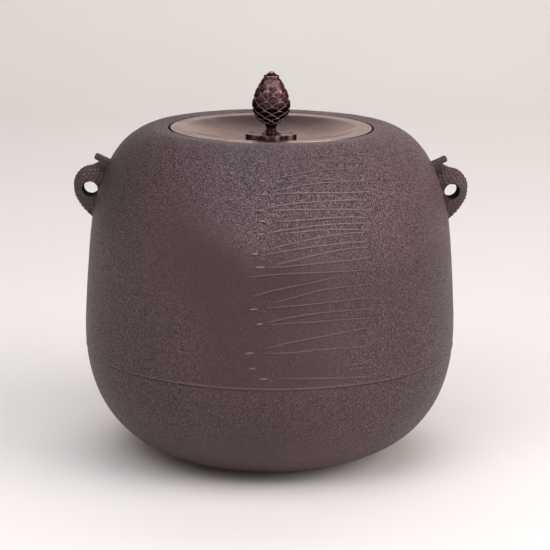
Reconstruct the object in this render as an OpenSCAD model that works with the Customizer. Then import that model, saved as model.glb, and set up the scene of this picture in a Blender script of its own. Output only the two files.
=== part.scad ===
// Tea-ceremony kettle: a two-part iron casting with pine-cone lugs, a dished
// bronze lid and a pine-cone knob. Millimetres, +Z up, origin at the centre of
// the flat base. The lugs lie on the X axis.

/* [Kettle] */
// Radius of the flat base that the kettle stands on
base_r = 57; // [55:0.5:58]
// Largest radius of the belly
belly_r = 123.5; // [123:0.1:124.5]
// Height of the widest ring of the belly
belly_z = 88; // [86:0.5:90]
// Radius where the wall turns into the shoulder
shoulder_r = 117; // [116:0.25:118]
// Height where the wall turns into the shoulder
shoulder_z = 166; // [164:0.5:168]
// Inward lean of the wall at that ring, in degrees
shoulder_lean = 14; // [12:0.5:16]
// Radius where the shoulder meets the flat mouth ring
top_r = 81.5; // [80:0.25:83]
// Height where the shoulder meets the flat mouth ring
top_z = 219; // [218.5:0.1:219.4]
// Wall thickness of the upper casting
wall = 4.2; // [3.6:0.1:4.6]
// Wall thickness of the lower casting
bottom_wall = 4.5; // [4:0.1:5]

/* [Seam] */
// Height of the seam between the two castings
seam_z = 74; // [72:0.5:76]
// How far the upper casting stands proud at the seam
seam_step = 0.5; // [0.2:0.1:0.8]
// Height of the spigot that laps inside the upper casting
spigot_h = 10; // [8:0.5:12]
// Thickness of the lacquer putty in the lap
putty_t = 0.4; // [0.3:0.05:0.5]

/* [Mouth] */
// Radius of the rebate that takes the lid
mouth_r = 67.5; // [67.3:0.1:68]
// Radius of the clear opening below the rebate
neck_r = 59; // [58.8:0.1:60]
// Height of the ledge that carries the lid
ledge_z = 215.9; // [215.5:0.1:216]

/* [Lid] */
// Radius of the lid
lid_r = 66.2; // [66:0.1:67]
// Height of the lid's flat rim
lid_z = 218.6; // [218.4:0.1:218.8]
// Radius where the flat rim turns down into the dish
dish_r = 57.5; // [56:0.5:58]
// Depth of the dish below the rim
dish_depth = 7.8; // [7:0.1:8.2]
// Thickness of the lid's sheet
lid_t = 2.4; // [2:0.1:2.6]
// Depth of the locating flange under the lid
flange_h = 7; // [5:0.5:8]

/* [Knob] */
// Overall radius of the five-lobed seat
seat_r = 17.3; // [16:0.1:18]
// Thickness of the seat
seat_t = 4; // [3.4:0.1:4.4]
// Radius of the pine cone at its widest
cone_r = 12.8; // [11.5:0.1:13]
// Height of the pine cone, neck to tip
cone_h = 35.4; // [33:0.1:37]
// Radius of the stem
stem_r = 2.95; // [2.5:0.05:3.2]
// Radial play of the stem in its holes
stem_play = 0.05; // [0.03:0.01:0.09]

/* [Lugs] */
// Distance of the ring hole's centre from the kettle's axis
hole_x = 119.3; // [119.1:0.1:119.6]
// Height of the ring hole's centre
hole_z = 177.6; // [177:0.1:178.2]
// Radius of the ring hole
hole_r = 4.9; // [4.5:0.1:5]
// Thickness of the lug's flattened pine cone
lug_t = 11.4; // [10:0.2:12]

/* [Hidden] */
$fn = 96;

iron = [0.29, 0.24, 0.24];
iron_dark = [0.22, 0.19, 0.19];
bronze = [0.55, 0.49, 0.45];
bronze_dark = [0.24, 0.17, 0.17];
lacquer = [0.12, 0.08, 0.07];

// ---- curves -------------------------------------------------------------
// point and direction of a cubic curve at t
function bz(q, t) = pow(1 - t, 3) * q[0] + 3 * pow(1 - t, 2) * t * q[1]
                    + 3 * (1 - t) * t * t * q[2] + t * t * t * q[3];
function bd(q, t) = 3 * pow(1 - t, 2) * (q[1] - q[0]) + 6 * (1 - t) * t * (q[2] - q[1])
                    + 3 * t * t * (q[3] - q[2]);
// the point moved d to the left of the direction of travel: into the wall
function bo(q, t, d) = let (v = bd(q, t), l = norm(v)) bz(q, t) + d * [-v[1], v[0]] / l;
// t at which a rising curve reaches height z, by halving
function t_at(q, z, a = 0, b = 1, n = 24) = n == 0 ? (a + b) / 2 :
    bz(q, (a + b) / 2)[1] < z ? t_at(q, z, (a + b) / 2, b, n - 1) : t_at(q, z, a, (a + b) / 2, n - 1);
function run(q, a, b, n) = [for (i = [0:n]) bz(q, a + (b - a) * i / n)];

lean = [-sin(shoulder_lean), cos(shoulder_lean)];
rise = [-cos(20), sin(20)];
S = [shoulder_r, shoulder_z];
T = [top_r, top_z];
M = [mouth_r + 1.5, 218.9];
// outline of the kettle in four runs: base to belly, belly to shoulder,
// shoulder to mouth ring, mouth ring to lip
qa = [[base_r, 0], [base_r + 21, 4.5], [belly_r + 1.2, belly_z - 70.7], [belly_r, belly_z]];
qb = [[belly_r, belly_z], [belly_r, belly_z + 14], S - 12 * lean, S];
qc = [S, S + 25 * lean, T - 23 * rise, T];
qd = [T, T + 4 * rise, M + [4, 0.5], M];

ts = t_at(qa, seam_z);                    // seam on the lower run
tu = t_at(qa, seam_z + putty_t + 0.5);    // start of the full radius above the seam
seam_r = bz(qa, ts)[0];
lap_r = seam_r - 4.3;                     // inside of the upper casting at the lap
spigot_r = lap_r - putty_t;
body_z0 = seam_z + putty_t;
lap_z1 = seam_z + spigot_h;

// ---- upper casting ------------------------------------------------------
module body_section() {
    polygon(concat(
        [[lap_r, body_z0], [seam_r - 0.4, body_z0], [seam_r, body_z0 + 0.4]],
        run(qa, tu, 1, 3),
        [for (i = [1:14]) bz(qb, i / 14)],
        [for (i = [1:16]) bz(qc, i / 16)],
        [for (i = [1:6]) bz(qd, i / 6)],
        // lip, lid rebate, ledge and collar
        [[mouth_r + 0.4, 218.6], [mouth_r, 218.1], [mouth_r, ledge_z], [neck_r + 0.4, ledge_z],
         [neck_r, ledge_z - 0.4], [neck_r, 210.4], [neck_r + 0.6, 209.8], [64, 209.2], [72, 211.4]],
        [for (i = [15:-1:0]) bo(qc, i / 16, wall)],
        [for (i = [13:-1:1]) if (bz(qb, i / 14)[1] > lap_z1 + 8) bo(qb, i / 14, wall)],
        [[belly_r - wall, lap_z1 + 8], [lap_r, lap_z1 + 1]]
    ));
}

module kettle_body() {
    color(iron) difference() {
        rotate_extrude() body_section();
        lug_blank();
        mirror([1, 0, 0]) lug_blank();
    }
}

// ---- lower casting ------------------------------------------------------
// the bowl draws in a little towards the seam, so the upper casting stands proud
function drawn(p) = [p[0] - seam_step * pow(p[1] / seam_z, 2), p[1]];
module kettle_bottom() {
    t_in = t_at(qa, 50);
    color(iron) rotate_extrude() polygon(concat(
        [[0, 0]],
        [for (p = run(qa, 0, ts, 22)) drawn(p)],
        [[spigot_r, seam_z], [spigot_r, lap_z1 - 0.6], [spigot_r - 0.6, lap_z1],
         [spigot_r - 3, lap_z1], [spigot_r - 3.6, lap_z1 - 0.6], [spigot_r - 3.6, 66]],
        [for (i = [16:-1:1]) bo(qa, t_in * i / 16, bottom_wall + 0.5)],
        [[base_r - 4, bottom_wall + 0.5], [0, bottom_wall + 0.5]]
    ));
}

// putty in the lap: a flat ring under the upper casting and a sleeve up the spigot
module seam_putty() {
    color(lacquer) rotate_extrude() polygon([
        [spigot_r, seam_z], [seam_r - seam_step - 0.2, seam_z], [seam_r - seam_step - 0.2, body_z0],
        [lap_r, body_z0], [lap_r, lap_z1 - 0.6], [spigot_r, lap_z1 - 0.6]]);
}

// ---- lugs ---------------------------------------------------------------
lug_out = 131;      // how far the lug reaches from the kettle's axis
lug_mid = 180;      // height at which it does
// edge of the flattened cone: up from its tip on the belly, then over to the stalk
lug_low = [[117.5, 155.8], [123, 160.5], [lug_out, 169.5], [lug_out, lug_mid]];
lug_high = [[lug_out, lug_mid], [lug_out, 187], [125.5, 192.6], [115, 194.3]];
// half section of the swell of its two faces, from the middle outwards
lug_swell = [[0, lug_t / 2], [9, lug_t / 2], [16, lug_t * 0.43], [23, lug_t * 0.16]];
module lug_blank() {
    swell = run(lug_swell, 0, 1, 10);
    difference() {
        union() {
            // face of the cone, swelling towards the middle on both sides
            intersection() {
                rotate([90, 0, 0]) linear_extrude(height = lug_t + 2, center = true)
                    polygon(concat(run(lug_low, 0, 1, 9), [for (i = [1:9]) bz(lug_high, i / 9)],
                        [[112.5, 196.6], [103, 194], [100, 190], [106, 180], [108, 165], [114, 156]]));
                translate([117, 0, 177]) rotate([90, 0, 0]) rotate_extrude()
                    polygon(concat([for (p = swell) [p[0], -p[1]]], [for (i = [10:-1:0]) swell[i]]));
            }
            // cut stalk
            translate([100, 0, 191.2]) rotate([0, 65, 0]) {
                cylinder(r1 = 2.6, r2 = 2.2, h = 15.8);
                translate([0, 0, 15.8]) sphere(r = 2.2);
            }
        }
        // root face, two millimetres below the skin of the shoulder
        translate([31.6, 0, 152.4]) rotate([90, 0, 0]) cylinder(r = 84, h = 60, center = true, $fn = 180);
    }
}
module lug_bored() {
    difference() {
        lug_blank();
        translate([hole_x, 0, hole_z]) rotate([90, 0, 0]) cylinder(r = hole_r, h = 60, center = true);
    }
}
module right_lug() { color(iron_dark) lug_bored(); }
module left_lug() { color(iron_dark) mirror([1, 0, 0]) lug_bored(); }

// ---- inside -------------------------------------------------------------
plate_z = bottom_wall + 0.5 + 1.6;
// [angle, distance, length, width] of each plate
plates = [[20, 30, 34, 17], [92, 33, 28, 19], [165, 29, 36, 15], [238, 32, 30, 18], [308, 31, 33, 16]];
module singing_plates() {
    color(iron_dark) for (p = plates) rotate([0, 0, p[0]]) translate([p[1], 0, plate_z])
        linear_extrude(height = 1.3) polygon([
            [-p[3] / 2, -p[2] / 2 + 3], [-p[3] / 2 + 4, -p[2] / 2], [p[3] / 2, -p[2] / 2 + 1.5],
            [p[3] / 2 - 1, p[2] / 2 - 4], [p[3] / 2 - 5, p[2] / 2], [-p[3] / 2 + 1, p[2] / 2 - 2]]);
}
module plate_dabs() {
    color(lacquer) for (p = plates) rotate([0, 0, p[0]]) translate([p[1], 0, bottom_wall + 0.5])
        for (s = [-1, 1]) translate([0, s * p[2] * 0.26, 0]) cylinder(r1 = 4.6, r2 = 3.8, h = 1.6);
}

// ---- lid ----------------------------------------------------------------
floor_z = lid_z - dish_depth;
hole_stem = stem_r + stem_play;
// upper face of the lid from the rim to the flat floor
ql = [[dish_r, lid_z], [dish_r - 3, lid_z - 0.15], [36, floor_z], [17.5, floor_z]];
module lid() {
    under = lid_z - lid_t - 0.2;
    color(bronze) rotate_extrude() polygon(concat(
        [[lid_r - 0.5, lid_z], [lid_r, lid_z - 0.5], [lid_r, under + 0.4], [lid_r - 0.4, under],
         [58.4, under], [58.4, under - flange_h + 0.4], [58, under - flange_h], [56, under - flange_h], [55.6, under - flange_h + 0.4]],
        [[55.6, under]],
        [for (i = [1:14]) if (bz(ql, i / 14)[0] < 55) bz(ql, i / 14) - [0, lid_t]],
        [[hole_stem, floor_z - lid_t], [hole_stem, floor_z]],
        [for (i = [14:-1:0]) bz(ql, i / 14)]
    ));
}
washer_z = floor_z - lid_t - 0.05 - 1.6;              // underside of the washer
module under_washer() {
    color(bronze) translate([0, 0, washer_z]) difference() {
        union() {
            translate([0, 0, 0.4]) cylinder(r = 9, h = 1.2);
            cylinder(r1 = 8.6, r2 = 9, h = 0.4);
        }
        translate([0, 0, -1]) cylinder(r = hole_stem, h = 4);
    }
}

// ---- knob ---------------------------------------------------------------
seat_z0 = floor_z;
seat_mid = 2.4;                                      // thickness of the seat under the foot
module knob_seat() {
    lobe = seat_r * 0.47;
    color(bronze) translate([0, 0, seat_z0]) difference() {
        linear_extrude(height = seat_t) {
            circle(r = seat_r * 0.62);
            for (i = [0:4]) rotate(72 * i - 90) translate([seat_r - lobe, 0]) circle(r = lobe);
        }
        // the petals stand up around a sunk middle that the knob's foot sits in
        translate([0, 0, seat_mid]) cylinder(r = 6.4, h = seat_t);
        translate([0, 0, -1]) cylinder(r = hole_stem, h = seat_t + 2);
    }
}

knob_z0 = seat_z0 + seat_mid + 0.1;                  // foot of the collar, on the seat
cone_z0 = 255.4 - cone_h;                            // underside of the cone
rivet_z = washer_z - 0.12;                           // top of the riveted end
module knob() {
    w = cone_r; h = cone_h;
    low = [[3.3, cone_z0], [8.6, cone_z0 + 0.2], [w, cone_z0 + 0.17 * h], [w, cone_z0 + 0.37 * h]];
    high = [[w, cone_z0 + 0.37 * h], [w, cone_z0 + 0.60 * h], [7.2, cone_z0 + 0.80 * h], [4.6, cone_z0 + 0.885 * h]];
    color(bronze_dark) rotate_extrude() polygon(concat(
        // riveted end and stem
        [[0, rivet_z - 2.2], [2.6, rivet_z - 2.2], [4.2, rivet_z - 1.3], [4.6, rivet_z], [stem_r, rivet_z],
         [stem_r, knob_z0],
        // foot, collar and neck
         [3.9, knob_z0], [3.6, knob_z0 + 1.0], [4.3, knob_z0 + 1.6], [4.3, knob_z0 + 2.2], [3.6, knob_z0 + 2.9],
         [3.3, knob_z0 + 3.8]],
        run(low, 0, 1, 9),
        [for (i = [1:9]) bz(high, i / 9)],
        // cap and tip
        [[4.8, cone_z0 + 0.91 * h], [4.4, cone_z0 + 0.935 * h], [3.2, cone_z0 + 0.94 * h], [2.9, cone_z0 + 0.965 * h],
         [1.8, cone_z0 + 0.99 * h], [0, cone_z0 + h]]
    ));
}

kettle_body();
kettle_bottom();
seam_putty();
left_lug();
right_lug();
singing_plates();
plate_dabs();
lid();
under_washer();
knob_seat();
knob();
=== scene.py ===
import math
import bmesh
import bpy
import numpy as np
from mathutils import Matrix, Vector


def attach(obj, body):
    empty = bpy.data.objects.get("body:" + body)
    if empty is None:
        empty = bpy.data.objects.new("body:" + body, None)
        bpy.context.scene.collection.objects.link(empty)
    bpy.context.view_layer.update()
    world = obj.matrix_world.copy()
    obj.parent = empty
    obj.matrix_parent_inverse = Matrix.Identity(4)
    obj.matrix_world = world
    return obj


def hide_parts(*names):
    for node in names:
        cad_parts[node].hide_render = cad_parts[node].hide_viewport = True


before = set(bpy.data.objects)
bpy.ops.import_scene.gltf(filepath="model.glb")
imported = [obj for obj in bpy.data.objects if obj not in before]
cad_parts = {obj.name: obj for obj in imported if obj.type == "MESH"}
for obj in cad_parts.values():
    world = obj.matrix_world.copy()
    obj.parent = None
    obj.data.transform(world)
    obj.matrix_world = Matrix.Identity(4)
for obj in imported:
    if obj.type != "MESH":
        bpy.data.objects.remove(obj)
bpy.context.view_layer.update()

MM = 0.001
TAU = 2 * math.pi


# ---------------------------------------------------------------- curves
def bez(q, n, a=0.0, b=1.0):
    q = np.asarray(q, float)
    t = np.linspace(a, b, n)[:, None]
    return (1 - t) ** 3 * q[0] + 3 * (1 - t) ** 2 * t * q[1] + 3 * (1 - t) * t * t * q[2] + t ** 3 * q[3]


def bez_in(q, n, d, a=0.0, b=1.0):
    """The curve moved d to the left of its direction of travel."""
    q = np.asarray(q, float)
    t = np.linspace(a, b, n)[:, None]
    v = 3 * (1 - t) ** 2 * (q[1] - q[0]) + 6 * (1 - t) * t * (q[2] - q[1]) + 3 * t * t * (q[3] - q[2])
    v /= np.linalg.norm(v, axis=1)[:, None]
    return bez(q, n, a, b) + d * np.stack([-v[:, 1], v[:, 0]], 1)


def arc(pts):
    return np.concatenate([[0], np.cumsum(np.linalg.norm(np.diff(pts, axis=0), axis=1))])


def resample(pts, step):
    s = arc(pts)
    n = max(2, int(round(s[-1] / step)) + 1)
    t = np.linspace(0, s[-1], n)
    return np.stack([np.interp(t, s, pts[:, k]) for k in range(pts.shape[1])], 1)


def smooth_path(pts, n):
    """A Catmull-Rom curve through given points, n samples even in length."""
    p = np.asarray(pts, float)
    if len(p) == 2:
        t = np.linspace(0, 1, n)[:, None]
        return p[0] * (1 - t) + p[1] * t
    e = np.vstack([2 * p[0] - p[1], p, 2 * p[-1] - p[-2]])
    out = []
    for i in range(len(p) - 1):
        a, b, c, d = e[i:i + 4]
        t = np.linspace(0, 1, 40, endpoint=False)[:, None]
        out.append(0.5 * (2 * b + (c - a) * t + (2 * a - 5 * b + 4 * c - d) * t ** 2 + (3 * b - a - 3 * c + d) * t ** 3))
    q = np.vstack(out + [p[-1:]])
    s = arc(q)
    t = np.linspace(0, s[-1], n)
    return np.stack([np.interp(t, s, q[:, k]) for k in range(q.shape[1])], 1)


def fillet(pts, radius, n=4):
    """An open polyline with each inner corner rounded; radius is one number or one per point."""
    p = [np.asarray(a, float) for a in pts]
    rad = [radius] * len(p) if np.isscalar(radius) else radius
    out = [p[0]]
    for i in range(1, len(p) - 1):
        a, b = p[i - 1] - p[i], p[i + 1] - p[i]
        la, lb = np.linalg.norm(a), np.linalg.norm(b)
        d = min(rad[i], 0.45 * la, 0.45 * lb)
        if d <= 0:
            out.append(p[i])
            continue
        s, e = p[i] + a / la * d, p[i] + b / lb * d
        for t in np.linspace(0, 1, n):
            out.append((1 - t) ** 2 * s + 2 * (1 - t) * t * p[i] + t * t * e)
    return np.array(out + [p[-1]])


def sstep(x, a, b):
    t = np.clip((np.asarray(x, float) - a) / (b - a), 0, 1)
    return t * t * (3 - 2 * t)


def vnoise(p, seed=0):
    """Smooth noise from -1 to 1 at the points p (n, 3)."""
    i = np.floor(p).astype(np.int64)
    f = p - i
    f = f * f * f * (f * (f * 6 - 15) + 10)
    out = np.zeros(len(p))
    for dx in (0, 1):
        for dy in (0, 1):
            for dz in (0, 1):
                h = ((i[:, 0] + dx) * 73856093) ^ ((i[:, 1] + dy) * 19349663) ^ ((i[:, 2] + dz) * 83492791) ^ (seed * 7919 + 17)
                h = ((h ^ (h >> 13)) * 1274126177) & 0xFFFFFFFF
                h = ((h ^ (h >> 15)) * 668265263) & 0xFFFFFFFF
                v = ((h >> 8) & 0xFFFF) / 32767.5 - 1
                w = (f[:, 0] if dx else 1 - f[:, 0]) * (f[:, 1] if dy else 1 - f[:, 1]) * (f[:, 2] if dz else 1 - f[:, 2])
                out += w * v
    return out


# ---------------------------------------------------------------- meshes
def make(name, verts, faces, body, node=None, mats=(), attrs=None, recalc=True):
    """A piece from points in millimetres. It rides on body and stands for a CAD node."""
    me = bpy.data.meshes.new(name)
    me.from_pydata((np.asarray(verts, float) * MM).tolist(), [], faces)
    for key, val in (attrs or {}).items():
        me.attributes.new(key, "FLOAT", "POINT").data.foreach_set("value", np.asarray(val, np.float32))
    if recalc:
        bm = bmesh.new()
        bm.from_mesh(me)
        bmesh.ops.recalc_face_normals(bm, faces=bm.faces)
        bm.to_mesh(me)
        bm.free()
    me.polygons.foreach_set("use_smooth", [True] * len(me.polygons))
    me.validate()
    me.update()
    ob = bpy.data.objects.new(name, me)
    bpy.context.scene.collection.objects.link(ob)
    for m in mats:
        me.materials.append(m)
    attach(ob, body)
    if node:
        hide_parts(*([node] if isinstance(node, str) else node))
    return ob


def ring_faces(rows, cols, loop):
    """Quads of a grid of rows x cols closed round the columns, and round the rows if loop."""
    i = np.arange(rows if loop else rows - 1)[:, None]
    j = np.arange(cols)[None]
    i2, j2 = (i + 1) % rows, (j + 1) % cols
    f = np.stack([i * cols + j + 0 * i, i * cols + j2, i2 * cols + j2, i2 * cols + j + 0 * i2], -1)
    return f.reshape(-1, 4).tolist()


def spin(profile, cols, loop=True, shift=None, start=0.0):
    """Points and faces of a profile (r, z) turned round Z. A loop profile closes on itself; otherwise its two ends lie on the axis.
    shift(points) gives how far each outer point moves along the profile's normal."""
    prof = np.asarray(profile, float)
    th = start + np.arange(cols) / cols * TAU
    if loop:
        n_row = len(prof)
        v = np.roll(prof, -1, 0) - np.roll(prof, 1, 0)
    else:
        n_row = len(prof)
        v = np.gradient(prof, axis=0)
    v /= np.maximum(np.linalg.norm(v, axis=1), 1e-9)[:, None]
    nr, nz = v[:, 1], -v[:, 0]
    r = np.repeat(prof[:, :1], cols, 1)
    z = np.repeat(prof[:, 1:], cols, 1)
    if shift is not None:
        d = shift(r, z, np.repeat(th[None], n_row, 0))
        r = r + d * nr[:, None]
        z = z + d * nz[:, None]
    pts = np.stack([r * np.cos(th), r * np.sin(th), z], -1).reshape(-1, 3)
    faces = ring_faces(n_row, cols, loop)
    if not loop:
        # the first and last rows are single points on the axis
        pts = np.vstack([[[0, 0, prof[0, 1]]], pts[cols:-cols], [[0, 0, prof[-1, 1]]]])
        faces = []
        for f in ring_faces(n_row - 2, cols, False):
            faces.append([k + 1 for k in f])
        last = len(pts) - 1
        for j in range(cols):
            faces.append([0, 1 + (j + 1) % cols, 1 + j])
            base = 1 + (n_row - 3) * cols
            faces.append([last, base + j, base + (j + 1) % cols])
    return pts, faces


# ---------------------------------------------------------------- materials
def material(name):
    m = bpy.data.materials.new(name)
    m.use_nodes = True
    nt = m.node_tree
    nt.nodes.clear()
    out = nt.nodes.new("ShaderNodeOutputMaterial")
    sh = nt.nodes.new("ShaderNodeBsdfPrincipled")
    nt.links.new(sh.outputs[0], out.inputs[0])
    return m, nt, sh


def node(nt, kind, **kw):
    n = nt.nodes.new(kind)
    for k, v in kw.items():
        if k in n.inputs.keys():
            n.inputs[k].default_value = v
        else:
            setattr(n, k, v)
    return n


def coords(nt):
    return nt.nodes.new("ShaderNodeTexCoord").outputs["Object"]


def noise_tex(nt, vec, scale, detail=2.0, rough=0.5, dist=0.0):
    n = nt.nodes.new("ShaderNodeTexNoise")
    n.inputs["Scale"].default_value = scale
    n.inputs["Detail"].default_value = detail
    n.inputs["Roughness"].default_value = rough
    n.inputs["Distortion"].default_value = dist
    nt.links.new(vec, n.inputs["Vector"])
    return n.outputs["Fac"]


def ramp(nt, fac, stops):
    n = nt.nodes.new("ShaderNodeValToRGB")
    el = n.color_ramp.elements
    while len(el) < len(stops):
        el.new(0.5)
    for e, (pos, col) in zip(el, stops):
        e.position = pos
        e.color = (*col, 1) if len(col) == 3 else col
    nt.links.new(fac, n.inputs["Fac"])
    return n.outputs["Color"]


def mix(nt, kind, fac, a, b):
    n = nt.nodes.new("ShaderNodeMix")
    n.data_type = "RGBA"
    n.blend_type = kind
    for sock, val in ((n.inputs[0], fac), (n.inputs[6], a), (n.inputs[7], b)):
        if isinstance(val, (int, float)):
            sock.default_value = val
        elif isinstance(val, tuple):
            sock.default_value = (*val, 1)
        else:
            nt.links.new(val, sock)
    return n.outputs[2]


def calc(nt, op, a, b=None, c=None):
    n = nt.nodes.new("ShaderNodeMath")
    n.operation = op
    for sock, val in zip(n.inputs, (a, b, c)):
        if val is None:
            continue
        if isinstance(val, (int, float)):
            sock.default_value = val
        else:
            nt.links.new(val, sock)
    return n.outputs[0]


def remap(nt, val, a, b, c, d):
    n = nt.nodes.new("ShaderNodeMapRange")
    nt.links.new(val, n.inputs["Value"])
    for k, v in zip(("From Min", "From Max", "To Min", "To Max"), (a, b, c, d)):
        n.inputs[k].default_value = v
    return n.outputs["Result"]


def attribute(nt, name):
    n = nt.nodes.new("ShaderNodeAttribute")
    n.attribute_name = name
    return n.outputs["Fac"]


def bump(nt, height, dist, strength=1.0, after=None):
    n = nt.nodes.new("ShaderNodeBump")
    n.inputs["Strength"].default_value = strength
    n.inputs["Distance"].default_value = dist
    nt.links.new(height, n.inputs["Height"])
    if after is not None:
        nt.links.new(after, n.inputs["Normal"])
    return n.outputs["Normal"]


def iron_skin(name, mid, grain=1.0, rough=(0.31, 0.52), depth=0.0017, shade_recesses=False, even=None):
    """Cast iron with a fine leathery skin under a thin baked lacquer. Crests are pale, partly from use and partly a
    painted highlight on their upper flanks; where asked, recesses are painted near black as painted shade, with dark
    patina in the lugs' grooves.
    The skin is smoothed on the belly's front and back and stays coarse at the sides and on the shoulder; even sets it
    all alike. Without even, the colour also holds painted light: painted shade on the front and back, paler sides, and
    a painted sheen across the shoulder, dark on the left and bluish to the right."""
    m, nt, sh = material(name)
    v = coords(nt)
    g1 = noise_tex(nt, v, 1350 / grain, 1.0, 0.5, 0.3)
    g2 = noise_tex(nt, v, 480 / grain, 1.5, 0.5, 0.4)
    # close-set grains, each a low dome
    cell = nt.nodes.new("ShaderNodeTexVoronoi")
    cell.feature = "F1"
    cell.inputs["Scale"].default_value = 1100 / grain
    nt.links.new(v, cell.inputs["Vector"])
    dome = calc(nt, "SUBTRACT", 0.75, calc(nt, "MULTIPLY", cell.outputs["Distance"], cell.outputs["Distance"]))
    patch = noise_tex(nt, v, 26, 3.0, 0.55)
    broad = noise_tex(nt, v, 7, 2.0, 0.5)
    h = calc(nt, "ADD", calc(nt, "MULTIPLY", g1, 0.92), calc(nt, "MULTIPLY", g2, 0.08))
    lift = calc(nt, "SUBTRACT", calc(nt, "ADD", calc(nt, "MULTIPLY", h, 0.72), calc(nt, "MULTIPLY", dome, 0.28)), 0.5)
    tone = calc(nt, "SUBTRACT", h, 0.5)
    if even is None:
        sep = nt.nodes.new("ShaderNodeSeparateXYZ")
        nt.links.new(v, sep.inputs[0])
        side = remap(nt, calc(nt, "ABSOLUTE", sep.outputs[0]), 0.035, 0.100, 0.22, 1.75)
        # the rubbed front reaches higher up on the left
        height = calc(nt, "SUBTRACT", sep.outputs[2], calc(nt, "MULTIPLY", remap(nt, sep.outputs[0], -0.060, -0.012, 0.034, 0.0), remap(nt, sep.outputs[0], -0.100, -0.080, 0.0, 1.0)))
        top = remap(nt, height, 0.150, 0.200, 0.0, 2.05)
        # coarse again in a band under the seam
        band = calc(nt, "MULTIPLY", remap(nt, sep.outputs[2], 0.030, 0.052, 0.0, 0.45), remap(nt, sep.outputs[2], 0.068, 0.076, 1.0, 0.0))
        top = calc(nt, "ADD", top, band)
        coarse = calc(nt, "ADD", side, top)
        across = calc(nt, "MULTIPLY", remap(nt, sep.outputs[0], -0.090, -0.070, 0.0, 1.0), remap(nt, sep.outputs[0], -0.046, -0.008, 1.0, 0.0))
        upward = calc(nt, "MULTIPLY", remap(nt, sep.outputs[2], 0.110, 0.135, 0.0, 1.0), remap(nt, sep.outputs[2], 0.160, 0.195, 1.0, 0.0))
        coarse = calc(nt, "MULTIPLY", coarse, calc(nt, "SUBTRACT", 1.0, calc(nt, "MULTIPLY", calc(nt, "MULTIPLY", across, upward), 0.6)))
    else:
        coarse = even
    lift = calc(nt, "MULTIPLY", lift, coarse)
    tone = calc(nt, "ADD", calc(nt, "MULTIPLY", calc(nt, "MULTIPLY", tone, coarse), 4.4), 0.5)
    col = ramp(nt, tone, [(0.05, tuple(0.50 * c for c in mid)), (0.50, tuple(0.96 * c for c in mid)), (0.95, (2.1 * mid[0], 2.5 * mid[1], 2.6 * mid[2]))])
    tint = ramp(nt, patch, [(0.30, (0.92, 0.91, 0.93)), (0.70, (1.08, 1.07, 1.05))])
    col = mix(nt, "MULTIPLY", 0.7, col, tint)
    tint2 = ramp(nt, broad, [(0.35, (0.96, 0.96, 1.03)), (0.65, (1.04, 1.02, 0.97))])
    col = mix(nt, "MULTIPLY", 0.6, col, tint2)
    if even is None:
        # painted shade on the belly's front and back and painted light towards the sides: the colour runs from 0.88 in
        # the middle to 1.11 at the sides
        front_shade_side_light = ramp(nt, remap(nt, calc(nt, "ABSOLUTE", sep.outputs[0]), 0.015, 0.100, 0.0, 1.0), [(0.0, (0.88, 0.88, 0.88)), (1.0, (1.11, 1.09, 1.09))])
        col = mix(nt, "MULTIPLY", 1.0, col, front_shade_side_light)
        # painted sheen and shade on the upper body, set by x: dark on the upper left, paler and bluish from the front
        # to the right; shade blends it in from 142 mm up
        painted_sheen_across = ramp(nt, remap(nt, sep.outputs[0], -0.12, 0.12, 0.0, 1.0),
                     [(0.04, (0.46, 0.47, 0.48)), (0.20, (1.30, 1.32, 1.34)), (0.42, (1.97, 2.33, 2.40)), (0.70, (2.24, 2.58, 2.52)), (0.92, (1.95, 1.90, 1.94))])
        shade = mix(nt, "MIX", remap(nt, height, 0.142, 0.192, 0.0, 1.0), (1.0, 1.0, 1.0), painted_sheen_across)
        # paler colour on the crests of the seam bead and the needles: partly wear, partly a painted highlight on their
        # upper flanks
        col = mix(nt, "MIX", attribute(nt, "wear_and_highlight"), col, (0.19, 0.13, 0.13))
        col = mix(nt, "MULTIPLY", 1.0, col, shade)
    else:
        # paler colour on crests: partly wear, partly a painted highlight on their upper flanks
        col = mix(nt, "MIX", attribute(nt, "wear_and_highlight"), col, (0.19, 0.13, 0.13))
    # recesses painted near black: painted shade in the lid's rebate, under the lugs' stalks and round their bores, with
    # dark patina and painted shade in the lugs' grooves
    if shade_recesses:
        col = mix(nt, "MIX", attribute(nt, "recess_dark_and_shade"), col, (0.006, 0.0045, 0.0045))
    nt.links.new(col, sh.inputs["Base Color"])
    nt.links.new(remap(nt, h, 0.35, 0.65, rough[1], rough[0]), sh.inputs["Roughness"])
    sh.inputs["Specular IOR Level"].default_value = 0.34
    nt.links.new(bump(nt, lift, depth), sh.inputs["Normal"])
    return m


IRON = iron_skin("iron_skin", (0.066, 0.0345, 0.0355), shade_recesses=True)
IRON_LOW = iron_skin("iron_skin_low", (0.067, 0.0355, 0.036))
IRON_LUG = iron_skin("iron_lug", (0.058, 0.031, 0.033), 1.0, (0.38, 0.52), 0.0004, True, 0.5)
PUTTY = iron_skin("putty_skin", (0.058, 0.031, 0.031), 1.0, (0.45, 0.6), 0.0003, False, 0.4)
PLATE = iron_skin("plate_iron", (0.060, 0.044, 0.037), 2.0, (0.5, 0.7), 0.0005, False, 0.6)


# near black, low sheen for the inside of the lugs' bores: dark patina and painted shade
def make_bore_shade():
    m, nt, sh = material("bore_shade")
    n1 = noise_tex(nt, coords(nt), 700, 3.0, 0.6)
    nt.links.new(ramp(nt, n1, [(0.3, (0.004, 0.003, 0.003)), (0.7, (0.010, 0.007, 0.007))]), sh.inputs["Base Color"])
    sh.inputs["Roughness"].default_value = 0.85
    sh.inputs["Specular IOR Level"].default_value = 0.08
    nt.links.new(bump(nt, n1, 0.0002), sh.inputs["Normal"])
    return m


BORE_SHADE = make_bore_shade()


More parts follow.
